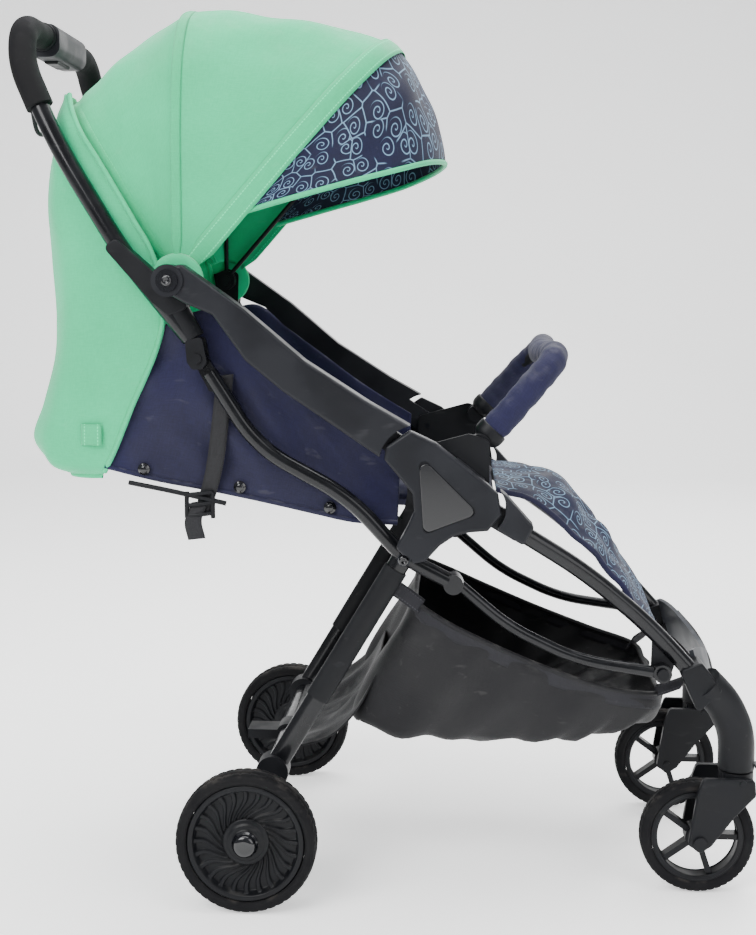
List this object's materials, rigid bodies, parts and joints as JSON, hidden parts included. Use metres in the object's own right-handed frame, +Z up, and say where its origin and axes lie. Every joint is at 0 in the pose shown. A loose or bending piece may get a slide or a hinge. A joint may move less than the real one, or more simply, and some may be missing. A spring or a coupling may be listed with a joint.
{
  "type": "baby stroller",
  "caption": "Folding four-wheel baby stroller with a hooded reclining seat, swivel front wheels, a bumper bar and a cloth basket.",
  "frame": {"origin": "on the floor at the middle of the footprint", "axes": "+X forwards, +Y to the stroller's left, +Z up"},
  "size_m": [0.9336, 0.482, 1.0959],
  "materials": {
    "frame_tube": "satin black",
    "moulding": "fine-grained black",
    "grey_plastic": "dark grey, fine grain",
    "gloss_cap": "gloss black",
    "pale_plastic": "pale grey, glossy",
    "tyre": "worn black foam rubber",
    "rim": "semi-gloss black",
    "steel": "zinc plated",
    "grip_foam": "soft black foam",
    "mint_cloth": "woven, matt",
    "navy_cloth": "woven, matt",
    "navy_pattern_cloth": "woven navy with pale scrolls",
    "black_cloth": "ripstop, matt",
    "webbing": "ribbed webbing"
  },
  "bodies": {
    "rear_frame": {"rear_leg_right": "frame_tube", "rear_leg_left": "frame_tube", "leg_sleeves": "moulding", "axle_housings": "moulding", "rear_crossbar": "frame_tube", "rear_axles": "steel", "hub_cover_right": "grey_plastic", "hub_cover_left": "grey_plastic", "hub_caps": "gloss_cap", "hub_plates": "moulding", "hub_pins": "steel", "bumper_sockets": "moulding", "basket": "black_cloth", "seat_base": "navy_cloth", "recline_strap": "webbing"},
    "seat_back": {"seat_back": "navy_cloth"},
    "bumper": {"bumper_bar": "moulding", "bumper_cover": "navy_cloth"},
    "armrests": {"armrest_right": "grey_plastic", "armrest_left": "grey_plastic", "pivot_caps": "gloss_cap", "seat_sides": "navy_cloth"},
    "handle_frame": {"handle_tube": "frame_tube", "handle_grips": "grip_foam", "handle_module": "grey_plastic", "wrist_strap": "webbing", "handle_brackets": "moulding", "rear_flap": "mint_cloth"},
    "fold_button": {"fold_button": "moulding"},
    "hood_mid": {"hood_mid_bow": "moulding", "hood_back_panel": "mint_cloth"},
    "hood_front": {"hood_front_bow": "moulding", "hood_front_panel": "mint_cloth"},
    "visor": {"hood_visor": "navy_pattern_cloth"},
    "rear_links": {"rear_link_right": "frame_tube", "rear_link_left": "frame_tube"},
    "front_frame": {"front_tube_right": "frame_tube", "front_tube_left": "frame_tube", "front_sleeves": "grey_plastic", "front_brackets": "moulding", "footrest_plate": "pale_plastic", "caster_elbow_right": "moulding", "caster_elbow_left": "moulding", "leg_rest": "navy_pattern_cloth"},
    "front_links": {"front_struts": "frame_tube"},
    "brake": {"brake_pedal": "moulding"},
    "caster_right": {"caster_head_right": "moulding"},
    "fork_right": {"caster_fork_right": "moulding"},
    "front_wheel_right": {"front_wheel_tyre_right": "tyre", "front_wheel_rim_right": "rim"},
    "rear_wheel_right": {"rear_wheel_tyre_right": "tyre", "rear_wheel_rim_right": "rim"},
    "swivel_lock_right": {"swivel_lock_right": "pale_plastic"},
    "caster_left": {"caster_head_left": "moulding"},
    "fork_left": {"caster_fork_left": "moulding"},
    "front_wheel_left": {"front_wheel_tyre_left": "tyre", "front_wheel_rim_left": "rim"},
    "rear_wheel_left": {"rear_wheel_tyre_left": "tyre", "rear_wheel_rim_left": "rim"},
    "swivel_lock_left": {"swivel_lock_left": "pale_plastic"}
  },
  "joints": [
    {"name": "frame_fold", "type": "hinge", "parent": "rear_frame", "child": "armrests", "pos_m": [0.047, 0, 0.54], "axis": [0, -1, 0], "range_deg": [0, 55], "deforming": ["seat_sides", "basket", "leg_rest", "rear_flap", "recline_strap", "hood_back_panel", "hood_front_panel", "hood_visor", "seat_base", "seat_back", "wrist_strap", "bumper_cover"]},
    {"name": "handle_fold", "type": "hinge", "parent": "armrests", "child": "handle_frame", "pos_m": [-0.246, 0, 0.754], "axis": [0, -1, 0], "range_deg": [-75.03, 0]},
    {"name": "rear_link_fold", "type": "hinge", "parent": "rear_frame", "child": "rear_links", "pos_m": [0.029, 0, 0.422], "axis": [0, -1, 0], "range_deg": [0, 60.84]},
    {"name": "front_fold", "type": "hinge", "parent": "rear_frame", "child": "front_frame", "pos_m": [0.116, 0, 0.49], "axis": [0, -1, 0], "range_deg": [-40.65, 0]},
    {"name": "front_strut_fold", "type": "hinge", "parent": "front_frame", "child": "front_links", "pos_m": [0.34, 0, 0.281], "axis": [0, -1, 0], "range_deg": [-16.45, 0]},
    {"name": "hood_fold", "type": "hinge", "parent": "handle_frame", "child": "hood_mid", "pos_m": [-0.246, 0, 0.754], "axis": [0, -1, 0], "range_deg": [0, 30]},
    {"name": "hood_front_fold", "type": "hinge", "parent": "hood_mid", "child": "hood_front", "pos_m": [-0.246, 0, 0.754], "axis": [0, -1, 0], "range_deg": [0, 36]},
    {"name": "visor_flip", "type": "hinge", "parent": "hood_front", "child": "visor", "pos_m": [-0.246, 0, 0.754], "axis": [0, -1, 0], "range_deg": [0, 16]},
    {"name": "backrest_recline", "type": "hinge", "parent": "rear_frame", "child": "seat_back", "pos_m": [-0.038, 0, 0.492], "axis": [0, 1, 0], "range_deg": [0, 42]},
    {"name": "bumper_swing", "type": "hinge", "parent": "rear_frame", "child": "bumper", "pos_m": [0.118, 0, 0.56], "axis": [0, 1, 0], "range_deg": [0, 25]},
    {"name": "brake_press", "type": "hinge", "parent": "rear_frame", "child": "brake", "pos_m": [-0.134, 0, 0.15], "axis": [0, -1, 0], "range_deg": [0, 18], "stiffness_Nm_per_rad": 1.5, "springref_deg": -11.46},
    {"name": "fold_button_press", "type": "slide", "parent": "handle_frame", "child": "fold_button", "axis": [0, 0, 1], "range_m": [0, 0.004], "stiffness_N_per_m": 400, "springref_m": -0.004},
    {"name": "caster_swivel_right", "type": "hinge", "parent": "front_frame", "child": "caster_right", "pos_m": [0.436, -0.1325, 0.152], "axis": [0, 0, 1], "continuous": true},
    {"name": "suspension_right", "type": "hinge", "parent": "caster_right", "child": "fork_right", "pos_m": [0.44, -0.1325, 0.145], "axis": [0, 1, 0], "range_deg": [0, 5], "stiffness_Nm_per_rad": 40, "springref_deg": -5.73},
    {"name": "front_wheel_spin_right", "type": "hinge", "parent": "fork_right", "child": "front_wheel_right", "pos_m": [0.389, -0.1325, 0.07], "axis": [0, 1, 0], "continuous": true},
    {"name": "rear_wheel_spin_right", "type": "hinge", "parent": "rear_frame", "child": "rear_wheel_right", "pos_m": [-0.158, -0.2195, 0.085], "axis": [0, 1, 0], "continuous": true},
    {"name": "swivel_lock_slide_right", "type": "slide", "parent": "front_frame", "child": "swivel_lock_right", "axis": [0, 0, -1], "range_m": [0, 0.004]},
    {"name": "caster_swivel_left", "type": "hinge", "parent": "front_frame", "child": "caster_left", "pos_m": [0.436, 0.1325, 0.152], "axis": [0, 0, 1], "continuous": true},
    {"name": "suspension_left", "type": "hinge", "parent": "caster_left", "child": "fork_left", "pos_m": [0.44, 0.1325, 0.145], "axis": [0, 1, 0], "range_deg": [0, 5], "stiffness_Nm_per_rad": 40, "springref_deg": -5.73},
    {"name": "front_wheel_spin_left", "type": "hinge", "parent": "fork_left", "child": "front_wheel_left", "pos_m": [0.389, 0.1325, 0.07], "axis": [0, 1, 0], "continuous": true},
    {"name": "rear_wheel_spin_left", "type": "hinge", "parent": "rear_frame", "child": "rear_wheel_left", "pos_m": [-0.158, 0.2195, 0.085], "axis": [0, 1, 0], "continuous": true},
    {"name": "swivel_lock_slide_left", "type": "slide", "parent": "front_frame", "child": "swivel_lock_left", "axis": [0, 0, -1], "range_m": [0, 0.004]}
  ],
  "couplings": [
    {"joint": "handle_fold", "follows": "frame_fold", "ratio": -1.355},
    {"joint": "rear_link_fold", "follows": "frame_fold", "ratio": 1.0971},
    {"joint": "front_fold", "follows": "frame_fold", "ratio": -0.73},
    {"joint": "front_strut_fold", "follows": "frame_fold", "ratio": -0.29},
    {"joint": "hood_front_fold", "follows": "hood_fold", "ratio": 1.18}
  ]
}
